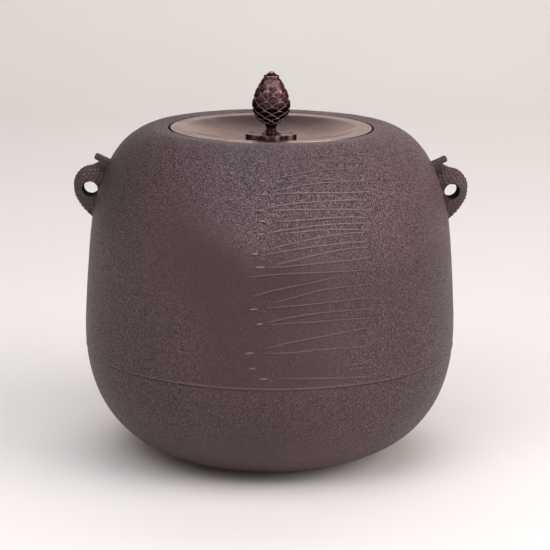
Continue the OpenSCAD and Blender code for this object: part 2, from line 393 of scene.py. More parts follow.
def make_lacquer():
    m, nt, sh = material("lacquer_putty")
    v = coords(nt)
    n1 = noise_tex(nt, v, 420, 3.0, 0.6)
    nt.links.new(ramp(nt, n1, [(0.3, (0.008, 0.006, 0.006)), (0.7, (0.020, 0.014, 0.013))]), sh.inputs["Base Color"])
    nt.links.new(remap(nt, n1, 0.3, 0.7, 0.45, 0.65), sh.inputs["Roughness"])
    nt.links.new(bump(nt, n1, 0.00015), sh.inputs["Normal"])
    return m


LACQUER = make_lacquer()


def turned_bronze(name, dark, mid, pale, edge, rough=(0.30, 0.42), lines=1.0, sides=False, rim=False):
    """Patinated bronze turned on a lathe: faint rings, and clouds of patina; edge tints it at a low angle."""
    m, nt, sh = material(name)
    v = coords(nt)
    sep = nt.nodes.new("ShaderNodeSeparateXYZ")
    nt.links.new(v, sep.inputs[0])
    rr = calc(nt, "SQRT", calc(nt, "ADD", calc(nt, "MULTIPLY", sep.outputs[0], sep.outputs[0]),
                               calc(nt, "MULTIPLY", sep.outputs[1], sep.outputs[1])))
    comb = nt.nodes.new("ShaderNodeCombineXYZ")
    nt.links.new(calc(nt, "MULTIPLY", rr, 2600.0), comb.inputs[0])
    ring = noise_tex(nt, comb.outputs[0], 1.0, 2.0, 0.6)
    cloud = noise_tex(nt, v, 42, 4.0, 0.6, 0.3)
    speck = noise_tex(nt, v, 900, 2.0, 0.6)
    h = calc(nt, "ADD", calc(nt, "MULTIPLY", cloud, 0.75), calc(nt, "MULTIPLY", speck, 0.25))
    col = ramp(nt, h, [(0.34, dark), (0.52, mid), (0.68, pale)])
    # the seat's upright petal walls darkened: painted shade
    if sides:
        col = mix(nt, "MIX", calc(nt, "MULTIPLY", attribute(nt, "side"), 0.9), col, (0.060, 0.027, 0.029))
    # a pale line along the lid's outer edge: painted highlight
    if rim:
        col = mix(nt, "MIX", attribute(nt, "rim"), col, (0.80, 0.70, 0.67))
    nt.links.new(col, sh.inputs["Base Color"])
    sh.inputs["Metallic"].default_value = 1.0
    sh.inputs["Specular Tint"].default_value = (*edge, 1)
    nt.links.new(remap(nt, cloud, 0.3, 0.7, rough[1], rough[0]), sh.inputs["Roughness"])
    hh = calc(nt, "ADD", calc(nt, "MULTIPLY", ring, 0.7 * lines), calc(nt, "MULTIPLY", speck, 0.5))
    nt.links.new(bump(nt, hh, 0.000012), sh.inputs["Normal"])
    return m


LID_BRONZE = turned_bronze("lid_bronze", (0.45, 0.363, 0.352), (0.535, 0.436, 0.424), (0.62, 0.512, 0.497), (0.74, 0.66, 0.64), (0.19, 0.25), rim=True)
SEAT_BRONZE = turned_bronze("seat_bronze", (0.30, 0.225, 0.21), (0.40, 0.31, 0.29), (0.48, 0.38, 0.36), (0.66, 0.57, 0.56), (0.20, 0.30), 0.0, True)


def make_knob_bronze():
    m, nt, sh = material("knob_bronze")
    v = coords(nt)
    cloud = noise_tex(nt, v, 160, 3.0, 0.6, 0.4)
    speck = noise_tex(nt, v, 1100, 2.0, 0.6)
    # patina rubbed through in short upright streaks
    mp = nt.nodes.new("ShaderNodeMapping")
    mp.inputs["Scale"].default_value = (1.0, 1.0, 0.45)
    nt.links.new(v, mp.inputs["Vector"])
    streak = noise_tex(nt, mp.outputs[0], 620, 3.0, 0.6, 1.2)
    col = ramp(nt, cloud, [(0.30, (0.085, 0.048, 0.050)), (0.55, (0.135, 0.076, 0.077)), (0.75, (0.19, 0.11, 0.108))])
    col = mix(nt, "MULTIPLY", 0.9, col, ramp(nt, streak, [(0.36, (0.35, 0.30, 0.30)), (0.52, (1.0, 0.95, 0.95)), (0.66, (2.1, 1.9, 1.9))]))
    # paler lips, cap ring and tip: wear and painted highlight, stronger on the lower rows
    lip = attribute(nt, "lip")
    col = mix(nt, "MIX", calc(nt, "MULTIPLY", lip, 0.8), col, (0.38, 0.27, 0.27))
    # near black in the hollows, under the scales and on the lower rows' faces: dark patina and painted shade
    recess_dark_and_shade = attribute(nt, "recess_dark_and_shade")
    col = mix(nt, "MIX", calc(nt, "MULTIPLY", recess_dark_and_shade, 0.97), col, (0.008, 0.005, 0.005))
    nt.links.new(col, sh.inputs["Base Color"])
    sh.inputs["Metallic"].default_value = 1.0
    sh.inputs["Specular Tint"].default_value = (0.5, 0.4, 0.41, 1)
    nt.links.new(remap(nt, speck, 0.3, 0.7, 0.24, 0.40), sh.inputs["Roughness"])
    nt.links.new(bump(nt, calc(nt, "ADD", calc(nt, "MULTIPLY", streak, 0.8), calc(nt, "MULTIPLY", speck, 0.2)), 0.00035), sh.inputs["Normal"])
    return m


KNOB_BRONZE = make_knob_bronze()


def make_paper():
    """Graduated backdrop paper: pale on the floor, deepening up the wall."""
    m, nt, sh = material("studio_paper")
    v = coords(nt)
    n1 = noise_tex(nt, v, 3.0, 2.0, 0.5)
    col = ramp(nt, n1, [(0.3, (0.82, 0.785, 0.755)), (0.7, (0.84, 0.805, 0.775))])
    sep = nt.nodes.new("ShaderNodeSeparateXYZ")
    nt.links.new(v, sep.inputs[0])
    up = remap(nt, sep.outputs[2], 0.0, 4.2, 0.0, 1.0)
    col = mix(nt, "MULTIPLY", 1.0, col, ramp(nt, up, [(0.12, (1.0, 1.0, 1.0)), (0.30, (0.68, 0.67, 0.67)), (0.50, (0.31, 0.305, 0.305)), (0.72, (0.13, 0.127, 0.127)), (0.95, (0.07, 0.068, 0.068))]))
    nt.links.new(col, sh.inputs["Base Color"])
    sh.inputs["Roughness"].default_value = 0.9
    sh.inputs["Specular IOR Level"].default_value = 0.2
    return m


PAPER = make_paper()

# ---------------------------------------------------------------- kettle outline
LEAN = np.array([-math.sin(math.radians(14)), math.cos(math.radians(14))])
RISE = np.array([-math.cos(math.radians(20)), math.sin(math.radians(20))])
P_S, P_T, P_M = np.array([117.0, 166.0]), np.array([81.5, 219.0]), np.array([69.0, 218.9])
QA = [[57, 0], [78, 4.5], [124.7, 17.3], [123.5, 88]]
QB = [[123.5, 88], [123.5, 102], P_S - 12 * LEAN, P_S]
QC = [P_S, P_S + 25 * LEAN, P_T - 23 * RISE, P_T]
QD = [P_T, P_T + 4 * RISE, P_M + [4, 0.5], P_M]
SEAM_Z = 74.0
low_run = bez(QA, 2000)
SEAM_R = float(np.interp(SEAM_Z, low_run[:, 1], low_run[:, 0]))
LAP_R = SEAM_R - 4.3
SPIGOT_R = LAP_R - 0.4

# the skin of the upper casting, from just above the seam to the lip
SKIN = np.vstack([low_run[low_run[:, 1] > SEAM_Z + 1.0], bez(QB, 500)[1:], bez(QC, 500)[1:], bez(QD, 160)[1:]])
SKIN_S = arc(SKIN)
APEX = int(np.argmax(SKIN[:, 1]))


def ripple(x, y, z):
    """The unevenness of the casting's skin, in millimetres."""
    p = np.stack([x, y, z], -1).reshape(-1, 3)
    d = 0.20 * vnoise(p / 41 + 3.1, 1) + 0.09 * vnoise(p / 14 + 1.7, 2) + 0.045 * vnoise(p / 5.2, 3) + 0.035 * vnoise(p / 2.9, 4)
    return d.reshape(np.shape(x))


def skin_shift(r, z, th):
    """Unevenness on the outer skin, fading out at the mouth, and a fine bead along the seam."""
    s_z = z - (SEAM_Z + 0.4)
    on = sstep(s_z, 0.2, 4.0) * sstep(r, 69.5, 76.0)
    bead = 0.20 * np.exp(-((s_z - 0.55) / 0.60) ** 2)
    return on * (ripple(r * np.cos(th), r * np.sin(th), z) - 0.20) + bead


# ---------------------------------------------------------------- upper casting
def build_body():
    zs = np.arange(SEAM_Z + 0.55, SEAM_Z + 3.0, 0.18)
    fine = np.stack([np.interp(zs, low_run[:, 1], low_run[:, 0]), zs], 1)
    out = np.vstack([fine, resample(SKIN[SKIN[:, 1] > SEAM_Z + 3.4], 1.28)])
    edge = fillet([[LAP_R, SEAM_Z + 0.4], [SEAM_R - 0.2, SEAM_Z + 0.4], [SEAM_R - 0.02, SEAM_Z + 0.46], out[0]], 0.1, 4)
    lip = fillet([out[-1], [67.95, 218.75], [67.5, 218.0], [67.5, 215.9], [59.3, 215.9], [59.0, 215.5], [59.0, 210.4],
                  [59.8, 209.6], [64, 209.2], [72, 211.4]], [0, 0.5, 0.5, 0.25, 0.4, 0.4, 0.6, 0.6, 2, 2], 4)
    inner = np.vstack([bez_in(QC, 16, 4.2)[::-1][1:], bez_in(QB, 14, 4.2)[::-1][1:]])
    inner = inner[inner[:, 1] > 93]
    tail = fillet([inner[-1], [119.3, 92.0], [LAP_R, 85.0], [LAP_R, SEAM_Z + 1.2]], 2.0, 4)
    # more rows down the straight rebate so that the quads stay even
    loop = np.vstack([edge[:-1], out, lip[1:], inner, tail[1:]])
    n_edge, n_out = len(edge) - 1, len(out)
    cols = 436

    def shift(r, z, th):
        d = skin_shift(r, z, th)
        keep = np.zeros(r.shape)
        keep[1:n_edge + n_out - 2] = 1
        return d * keep
    pts, faces = spin(loop, cols, True, shift)
    # a pale line on the seam bead's crest: partly wear, partly a painted highlight
    crest = np.exp(-((loop[:, 1] - SEAM_Z - 1.15) / 0.50) ** 2)
    crest[n_edge + n_out:] = 0
    # the rebate that the lid lies in is painted near black: painted shade
    rebate_shade = ((loop[:, 0] < 67.85) & (loop[:, 1] > 209.0)).astype(float)
    return make("body_shell", pts, faces, "kettle", "kettle_body", [IRON], {"wear_and_highlight": np.repeat(0.38 * crest, cols), "recess_dark_and_shade": np.repeat(rebate_shade, cols)})


# ---------------------------------------------------------------- lower casting
def build_bottom():
    bowl = low_run[low_run[:, 1] <= SEAM_Z].copy()
    bowl[:, 0] -= 0.30 * (bowl[:, 1] / SEAM_Z) ** 2
    out = resample(bowl, 1.5)
    base = np.array([[0, 0], [6, 0], [18, 0], [30, 0], [42, 0], [51, 0]], float)
    top = fillet([out[-1], [out[-1, 0] - 0.1, SEAM_Z], [SPIGOT_R, SEAM_Z], [SPIGOT_R, 83.4], [SPIGOT_R - 0.6, 84],
                  [SPIGOT_R - 3, 84], [SPIGOT_R - 3.6, 83.4], [SPIGOT_R - 3.6, 66]], 0.25, 3)
    t50 = float(np.interp(50, low_run[:, 1], np.linspace(0, 1, len(low_run))))
    wall = bez_in(QA, 24, 5.0, 0, t50)[::-1]
    wall = wall[wall[:, 0] > 54.5]
    floor = np.array([[53, 5.0], [43, 5.0], [32, 5.0], [20, 5.0], [8, 5.0], [0, 5.0]], float)
    prof = np.vstack([base, out, top[1:], wall, floor])
    n0, n1 = len(base), len(base) + len(out)

    def shift(r, z, th):
        d = sstep(z, 1.5, 9.0) * (1 - sstep(z, SEAM_Z - 3, SEAM_Z - 0.5)) * ripple(r * np.cos(th), r * np.sin(th), z)
        keep = np.zeros(r.shape)
        keep[n0:n1] = 1
        return d * keep
    pts, faces = spin(prof, 480, False, shift)
    return make("bottom_shell", pts, faces, "kettle", "kettle_bottom", [IRON_LOW])


def build_putty():
    """The lacquer putty in the lap, smoothed off between the two castings."""
    r = SEAM_R - 0.34
    prof = fillet([[SPIGOT_R + 2, SEAM_Z], [r - 0.12, SEAM_Z], [r - 0.02, SEAM_Z + 0.1], [r + 0.1, SEAM_Z + 0.3], [r + 0.12, SEAM_Z + 0.4], [LAP_R, SEAM_Z + 0.4],
                   [LAP_R, 84.0], [SPIGOT_R, 84.0], [SPIGOT_R, SEAM_Z], [SPIGOT_R + 2, SEAM_Z]], 0.05, 3)[:-1]
    pts, faces = spin(prof, 480, True)
    return make("putty_line", pts, faces, "kettle", "seam_putty", [PUTTY])


# ---------------------------------------------------------------- pine needles in relief
# Each line is a run of (degrees round from the front, height in mm) on the upper casting,
# with its width and height; "s" marks the stubby sheath that a pair of needles springs from.
# The whole group is turned RELIEF_TURN degrees to the right.
RELIEF_TURN = 2.5
NEEDLES = [
    ("n", [(14, 217), (21, 217), (29, 216.5)], 0.8, 0.20), ("n", [(18.5, 218.4), (30, 218)], 0.7, 0.15),
    ("s", [(-6.5, 210.5), (-4, 211)], 1.2, 0.45), ("t", [(-2.5, 211), (-1.5, 209.5), (-0.5, 207.5)], 0.8, 0.26), ("t", [(-2.5, 211.5), (-1.5, 213)], 0.7, 0.2),
    ("n", [(1, 211), (3.5, 212), (9.5, 213), (17, 213.5), (27, 213.5), (36, 212)], 1.0, 0.36),
    ("n", [(1.5, 210.5), (9.5, 211), (18, 210.5), (25.5, 209.5), (33, 208.5)], 1.0, 0.36),
    ("s", [(-6.5, 200.5), (-4.5, 200.5)], 1.3, 0.5), ("t", [(-3.5, 201), (-2, 198.5), (-2.5, 196.5)], 0.8, 0.26),
    ("n", [(-2, 202), (0.5, 202.5), (3.5, 203.5), (8, 204.5), (15, 206), (20, 206), (32.5, 204.5)], 1.0, 0.38),
    ("n", [(3.5, 202), (8.5, 202.5), (14.5, 201), (23.5, 199.5)], 0.9, 0.3),
    ("s", [(-6, 192.5), (-3.5, 193.5)], 1.3, 0.5), ("t", [(-3, 193), (-2, 189.5)], 0.8, 0.26),
    ("n", [(-2.5, 194.5), (1, 196), (6, 197.5), (14, 199), (20, 199), (30.5, 198.5)], 1.0, 0.40),
    ("n", [(-2.5, 193), (0.5, 193.5), (8, 193.5), (13.5, 193.5), (22.5, 192.5), (31.5, 192)], 1.0, 0.40),
    ("s", [(-6.5, 183.5), (-4.5, 184)], 1.3, 0.5), ("t", [(-4, 183.5), (-3, 181.5)], 0.8, 0.26),
    ("n", [(-4, 184.5), (-3, 185.5), (3.5, 187.5), (8, 188), (14.5, 188.5), (24.5, 188), (29, 187)], 1.0, 0.40),
    ("n", [(-2, 183.5), (1.5, 184), (7.5, 184), (13, 184), (24, 182.5), (28.5, 181.5)], 1.0, 0.36),
    ("s", [(-6, 177.5), (-4, 177.5)], 1.3, 0.52), ("t", [(-4, 177), (-2.5, 175.5)], 0.8, 0.26),
    ("n", [(-1.5, 177.5), (6.5, 178), (13, 178.5), (21, 178.5), (27.5, 177)], 1.0, 0.40),
    ("s", [(-6.5, 169.5), (-4.5, 170)], 1.3, 0.5),
    ("n", [(-4, 170), (-2.5, 171), (1, 172.5), (6.5, 173), (12.5, 175), (20.5, 174.5), (29, 174)], 1.0, 0.40),
    ("n", [(0.5, 170.5), (6.5, 171), (12.5, 172), (20.5, 171), (28.5, 170)], 0.9, 0.34),
    ("s", [(-8, 158), (-6, 158)], 1.3, 0.52), ("t", [(-5, 156.5), (-4, 154.5)], 0.8, 0.24),
    ("n", [(-4, 160.5), (-1.5, 161.5), (2, 163.5), (5.5, 165.5), (15, 168), (20.5, 169), (26.5, 168.5)], 1.0, 0.38),
    ("n", [(-5.5, 157), (-2, 158.5), (1.5, 160), (6, 161), (15, 163), (27, 163)], 1.0, 0.38),
    ("s", [(-7, 150), (-4, 150)], 1.3, 0.52),
    ("n", [(-4, 150), (0, 150.5), (6, 151), (10.5, 152), (27.5, 153)], 1.0, 0.38),
    ("n", [(-1.5, 151), (0, 152), (2.5, 153.5), (6, 155), (12.5, 157.5), (16.5, 159.5), (27.5, 159.5)], 1.0, 0.36),
    ("n", [(-9, 144.5), (-7.5, 144), (-2, 145.5), (2, 146), (6, 146.5), (21.5, 146), (29.5, 145.5)], 1.0, 0.38), ("t", [(24.5, 148), (26, 145.5)], 0.8, 0.22),
    ("n", [(-8, 132), (-6, 133), (-2.5, 135.5), (3, 138), (6, 139), (11, 141), (16.5, 143)], 1.0, 0.38),
    ("s", [(-8.5, 124), (-6, 124.5)], 1.2, 0.5), ("t", [(-4.5, 128), (-4, 129)], 0.7, 0.2), ("t", [(-4.5, 123.5), (-3.5, 122.5)], 0.7, 0.2),
    ("n", [(-2, 128), (0.5, 129.5), (5, 132), (10.5, 135), (18.5, 136.5), (27, 136.5)], 1.0, 0.38),
    ("n", [(-4, 124.5), (-2, 125.5), (5, 126.5), (16.5, 128), (28, 128)], 1.0, 0.38),
    ("s", [(-6.5, 115), (-4.5, 115.5)], 1.3, 0.52),
    ("n", [(-4, 115.5), (-2, 117), (2.5, 119), (9, 121), (16.5, 122), (28.5, 121)], 1.0, 0.38),
    ("n", [(-3.5, 114.5), (0.5, 115.5), (5, 116), (10.5, 116), (17.5, 116.5), (29, 115), (30, 112.5), (30, 109.5)], 1.0, 0.36),
    ("s", [(-9.5, 96), (-8.5, 97), (-7, 97)], 1.2, 0.48),
    ("n", [(-4, 99.5), (-2, 101), (1.5, 103), (5, 104.5), (11.5, 106.5), (18.5, 108.5), (27.5, 109.5)], 1.0, 0.38),
    ("n", [(-4.5, 97), (5, 97.5), (8.5, 98), (16.5, 99), (22, 98), (28, 98.5)], 1.0, 0.34),
    ("s", [(-8.5, 87), (-6.5, 87.5)], 1.2, 0.46),
    ("n", [(21, 87), (24, 87.5), (28, 88.5)], 1.0, 0.36), ("n", [(20, 84.5), (24, 84.5), (28, 83.5)], 1.0, 0.34),
    ("s", [(-5.5, 81), (-3, 81)], 1.2, 0.46), ("t", [(-2.5, 81.5), (-1.5, 78.5)], 0.8, 0.24), ("t", [(-2, 82.5), (-1.5, 83.5)], 0.7, 0.2),
    ("n", [(-1, 81), (5, 81), (15, 80), (28.5, 78)], 1.0, 0.28),
]


def build_needles():
    z_up, s_up, r_up = SKIN[:APEX, 1], SKIN_S[:APEX], SKIN[:APEX, 0]
    dr = np.gradient(SKIN[:, 0], SKIN_S)[:APEX]
    dz = np.gradient(SKIN[:, 1], SKIN_S)[:APEX]
    # section of a ridge, lower side first: (share of half width, share of height); it falls steeply below and runs out gently above
    sec = [(-1.35, -0.50), (-1.02, 0.08), (-0.80, 0.60), (-0.52, 0.97), (-0.20, 0.98), (0.20, 0.80), (0.66, 0.45), (1.15, 0.06), (1.7, -0.50), (0.0, -0.95)]
    verts, faces, wear_and_highlight = [], [], []
    # paler on the crest and the upper flank of each ridge: partly wear, partly a painted highlight where light from
    # above falls
    rub_and_highlight = [0, 0, 0.1, 0.75, 1.0, 0.9, 0.45, 0.05, 0, 0]
    for no, (kind, run, wide, high) in enumerate(NEEDLES):
        run = np.asarray(run, float)
        run[:, 0] = np.where(run[:, 0] > 0, run[:, 0] * 1.03, run[:, 0])
        length = np.sum(np.hypot(np.diff(run[:, 0]) * 2.05, np.diff(run[:, 1])))
        n = max(7, int(length / 0.9))
        path = smooth_path(run, n)
        if kind == "n" and len(run) > 3 and np.all(np.diff(run[:, 0]) > 0) and run[-1, 0] - run[0, 0] > 8:
            # one sweep of the hand: a smooth curve close to the set points
            t = (path[:, 0] - run[0, 0]) / (run[-1, 0] - run[0, 0])
            path[:, 1] = np.polyval(np.polyfit(t, path[:, 1], 4), t)
        path[:, 1] += 0.0070 * np.interp(path[:, 1], z_up, r_up) * np.cos(np.radians(path[:, 0]))
        th = np.radians(path[:, 0] + RELIEF_TURN - 90)
        r = np.interp(path[:, 1], z_up, r_up)
        nr, nz = np.interp(path[:, 1], z_up, dz), -np.interp(path[:, 1], z_up, dr)
        base = np.stack([r * np.cos(th), r * np.sin(th), path[:, 1]], 1)
        nor = np.stack([nr * np.cos(th), nr * np.sin(th), nz], 1)
        nor /= np.linalg.norm(nor, axis=1)[:, None]
        base = base + nor * skin_shift(r, path[:, 1], th)[:, None]
        tan = np.gradient(base, axis=0)
        tan /= np.linalg.norm(tan, axis=1)[:, None]
        side = np.cross(nor, tan)
        t = np.linspace(0, 1, n)
        if kind == "n":
            env = 0.45 + 0.55 * sstep(t, 0, 0.16)
            env *= 1 - 0.9 * sstep(t, 1 - 1.2 / length, 1.0)
        elif kind == "s":
            env = np.sin(np.pi * np.clip(t, 0.06, 0.94)) ** 0.45
        else:
            env = np.sin(np.pi * np.clip(t, 0.05, 0.95)) ** 0.7
        env = env * (1 + 0.16 * vnoise(base / 2.4 + no * 3.7, 21))
        w = 0.50 * wide * (0.7 + 0.3 * np.clip(env, 0, 1.2))
        h = (0.95 + 0.85 * sstep(path[:, 1], 100, 125)) * high * env
        at = len(verts)
        m = len(sec)
        for i in range(n):
            for (a, b), c in zip(sec, rub_and_highlight):
                drop = b * h[i] if b > 0 else b * 0.55
                verts.append(base[i] + side[i] * a * w[i] + nor[i] * drop)
                # sheaths palest; needles paler from 145 to 175 mm up and dimmer near the top: painted highlight, partly
                # wear
                wear_and_highlight.append(c * (1.0 if kind == "s" else 0.36 + 0.36 * float(sstep(path[i, 1], 145, 175))) * (1 - 0.45 * float(sstep(path[i, 1], 200, 208))) * min(1.0, env[i]))
        for i in range(n - 1):
            for k in range(m):
                k2 = (k + 1) % m
                faces.append([at + i * m + k, at + i * m + k2, at + (i + 1) * m + k2, at + (i + 1) * m + k])
        faces.append([at + k for k in range(m)][::-1])
        faces.append([at + (n - 1) * m + k for k in range(m)])
    return make("needle_relief", verts, faces, "kettle", None, [IRON], {"wear_and_highlight": wear_and_highlight})


# ---------------------------------------------------------------- lugs
def pl_dist(px, pz, line):
    """Signed distance from points to a closed outline in the plane, negative inside."""
    best = np.full(px.shape, 1e9)
    inside = np.zeros(px.shape, bool)
    n = len(line)
    for i in range(n):
        ax, az = line[i]
        bx, bz_ = line[(i + 1) % n]
        ex, ez = bx - ax, bz_ - az
        wx, wz = px - ax, pz - az
        t = np.clip((wx * ex + wz * ez) / (ex * ex + ez * ez + 1e-12), 0, 1)
        best = np.minimum(best, (wx - t * ex) ** 2 + (wz - t * ez) ** 2)
        cross = ((az <= pz) & (bz_ > pz)) | ((bz_ <= pz) & (az > pz))
        xi = ax + (pz - az) * ex / (ez if abs(ez) > 1e-12 else 1e-12)
        inside ^= cross & (px < xi)
    d = np.sqrt(best)
    return np.where(inside, -d, d)


def smin(a, b, k):
    h = np.clip(0.5 + 0.5 * (b - a) / k, 0, 1)
    return b * (1 - h) + a * h - k * h * (1 - h)


def surface_nets(val, lo, step):
    """A quad mesh of the zero surface of a field on a grid."""
    nx, ny, nz = val.shape
    ins = val < 0
    corner = np.zeros((nx - 1, ny - 1, nz - 1), np.int32)
    for dx in (0, 1):
        for dy in (0, 1):
            for dz in (0, 1):
                corner += ins[dx:nx - 1 + dx, dy:ny - 1 + dy, dz:nz - 1 + dz]
    cell = (corner > 0) & (corner < 8)
    idx = np.full(cell.shape, -1, np.int64)
    ci = np.argwhere(cell)
    idx[cell] = np.arange(len(ci))
    acc, cnt = np.zeros((len(ci), 3)), np.zeros(len(ci))
    offs = [(dx, dy, dz) for dx in (0, 1) for dy in (0, 1) for dz in (0, 1)]
    for a in offs:
        for axis in range(3):
            if a[axis]:
                continue
            b = list(a)
            b[axis] = 1
            va = val[ci[:, 0] + a[0], ci[:, 1] + a[1], ci[:, 2] + a[2]]
            vb = val[ci[:, 0] + b[0], ci[:, 1] + b[1], ci[:, 2] + b[2]]
            hit = (va < 0) != (vb < 0)
            t = np.where(hit, va / np.where(hit, va - vb, 1), 0)
            p = np.repeat(np.array([a], float), len(ci), 0)
            p[:, axis] += t
            acc += np.where(hit[:, None], p, 0)
            cnt += hit
    pts = lo + (ci + acc / cnt[:, None]) * step
    faces = []
    for axis in range(3):
        u, w = [k for k in range(3) if k != axis]
        a = ins.take(range(0, val.shape[axis] - 1), axis)
        b = ins.take(range(1, val.shape[axis]), axis)
        e = np.argwhere(a != b)
        e = e[(e[:, u] > 0) & (e[:, w] > 0) & (e[:, u] < val.shape[u] - 1) & (e[:, w] < val.shape[w] - 1)]
        q = []
        for du, dw in ((0, 0), (-1, 0), (-1, -1), (0, -1)):
            k = e.copy()
            k[:, u] += du
            k[:, w] += dw
            q.append(idx[k[:, 0], k[:, 1], k[:, 2]])
        q = np.stack(q, 1)
        flip = a[e[:, 0], e[:, 1], e[:, 2]] ^ (axis == 1)
        q[~flip] = q[~flip][:, ::-1]
        faces.append(q)
    return pts, np.vstack(faces)


# flattened cone: height, and half width across the face on either side of its spine
LUG_LINE = [(156.0, 0.0), (156.9, 0.9), (158.7, 2.3), (160.8, 4.4), (163.7, 6.9), (167.1, 9.0), (170.5, 10.7), (173.2, 11.7), (177.0, 12.3),
            (180.3, 12.5), (182.9, 12.1), (185.6, 11.1), (188.0, 9.5), (190.3, 7.3), (191.6, 5.4), (192.6, 3.1), (193.2, 1.0), (193.3, 0.0)]
LUG_FLAT = 2.2


def lug_scales(x, y, z):
    """How far the overlapping scales stand out, from 0 in a groove to 1 on a crest."""
    az = np.arctan2(y * LUG_FLAT, x - 118.5)
    q = (z - 155.6) / 2.3 + 0.35 * np.cos(az)
    top = np.floor(q)
    cover = np.zeros(x.shape)
    for k in (0, 1):
        row = top - k
        ph = az / TAU * 20 + 0.5 * np.mod(row, 2)
        fu = 2 * (ph - np.round(ph))
        fv = q - row - 0.62 * fu ** 2
        hh = (1 - 0.66 * np.clip(fv / 1.5, 0, 1)) * (1 - 0.42 * fu ** 2) * sstep(fv, 0.0, 0.26)
        cover = np.maximum(cover, hh)
    return cover


def lug_field(x, y, z):
    cx = 118.5 - 0.5 * sstep(z, 172, 158)
    rho = np.hypot(x - cx, y * LUG_FLAT)
    line = smooth_path([(b, a) for a, b in LUG_LINE], 64)
    line = np.vstack([line, line[::-1] * [-1, 1]])
    # the section is squeezed, so distances in it are brought back to true ones
    d = pl_dist(rho, z, line) / (np.hypot(x - cx, y * LUG_FLAT ** 2) / np.maximum(rho, 0.4))
    relief = 1.1 * lug_scales(x, y, z) * sstep(z, 156.5, 160) * (1 - sstep(z, 191.5, 193.2))
    # scallops along the outer edge
    turn = np.arctan2(z - 177.0, x - 116.5) * 14.0
    scallop = 0.42 * (np.abs(np.cos(turn * math.pi / 2.6)) - 0.9) * np.exp(-(y / 2.4) ** 2) * sstep(z, 158, 162) * (1 - sstep(z, 190.5, 192.5))
    d = d + 0.62 - np.where(np.abs(y) < 5, relief * (1 - 0.55 * np.exp(-(y / 2.0) ** 2)), relief) - scallop
    # web between the cone and the wall, set back under the stalk
    hy = 4.4 - 2.4 * sstep(z, 182, 189)
    web = pl_dist(x, z, [(100, 190), (103, 193.6), (112.4, 196.2), (114.9, 194.5), (118.5, 192.7), (119, 186), (119, 170), (118.4, 160), (117.6, 156.8),
                         (114, 156), (108, 165), (106, 180)])
    web = np.maximum(web + 0.3, np.abs(y) - hy - 0.5 * lug_scales(x, y, z))
    d = smin(d, web, 0.9)
    # cut stalk
    a = math.radians(64)
    ux, uz = math.sin(a), math.cos(a)
    tx, tz = x - 100.0, z - 191.0
    along = tx * ux + tz * uz
    away = np.hypot(tx * uz - tz * ux, y)
    rad = 2.75 - 0.035 * np.clip(along, 0, 17) + 0.18 * sstep(along, 13.0, 16.5)
    stalk = np.hypot(np.clip(away - rad + 1.5, 0, None), np.clip(along - 16.6, 0, None)) - 1.5
    stalk = np.where((away < rad - 1.5) & (along < 16.6), np.maximum(away - rad, along - 18.1), stalk)
    d = smin(d, stalk, 0.9)
    # root, two millimetres below the skin of the wall
    root = 84.0 - np.hypot(x - 31.6, z - 152.4)
    return np.maximum(d, root)


def build_lugs():
    step = 0.34
    lo = np.array([98.0, -9.5, 153.5])
    n = [int((133.0 - 98.0) / step), int(19.0 / step), int((203.0 - 153.5) / step)]
    gx, gy, gz = np.meshgrid(*[lo[k] + np.arange(n[k]) * step for k in range(3)], indexing="ij")
    solid = lug_field(gx, gy, gz)
    solid += 0.07 * vnoise(np.stack([gx, gy, gz], -1).reshape(-1, 3) / 2.6, 31).reshape(solid.shape)
    # each ring hole with worn edges, running a little askew
    for side, name, skew in ((1, "right_lug", -0.13), (-1, "left_lug", -0.02)):
        hole = np.hypot(gx - 119.3 - skew * gy, gz - 177.6 - 0.06 * gy) - 4.9
        k = 0.5
        h = np.clip(0.5 - 0.5 * (solid + hole) / k, 0, 1)
        val = solid * (1 - h) + (-hole) * h + k * h * (1 - h)
        pts, quads = surface_nets(val, lo, step)
        x, y, z = pts.T
        # darkened grooves between the scales (dark patina and painted shade), a painted shadow under the stalk by the
        # wall, and painted shade round the bore
        groove = 0.85 * (1 - sstep(lug_scales(x, y, z), 0.10, 0.50)) * sstep(z, 157, 160) * (1 - sstep(z, 190.5, 192.5)) * sstep(x, 108, 111)
        away = np.hypot(x - 119.3 - skew * y, z - 177.6 - 0.06 * y)
        bore = 1 - sstep(away, 5.0, 5.8)
        corner = 0.8 * np.exp(-((x - 111.5) / 2.6) ** 2 - ((z - 190.0) / 2.2) ** 2)
        ob = make(name + "_cone", pts * [side, 1, 1], quads.tolist(), "kettle", name, [IRON_LUG, BORE_SHADE],
                  {"recess_dark_and_shade": np.clip(np.maximum(np.maximum(groove, corner), bore), 0, 1)})
        # the bore's wall takes the near-black bore material: dark patina and painted shade
        inside = away < 5.12
        for f in ob.data.polygons:
            if all(inside[i] for i in f.vertices):
                f.material_index = 1


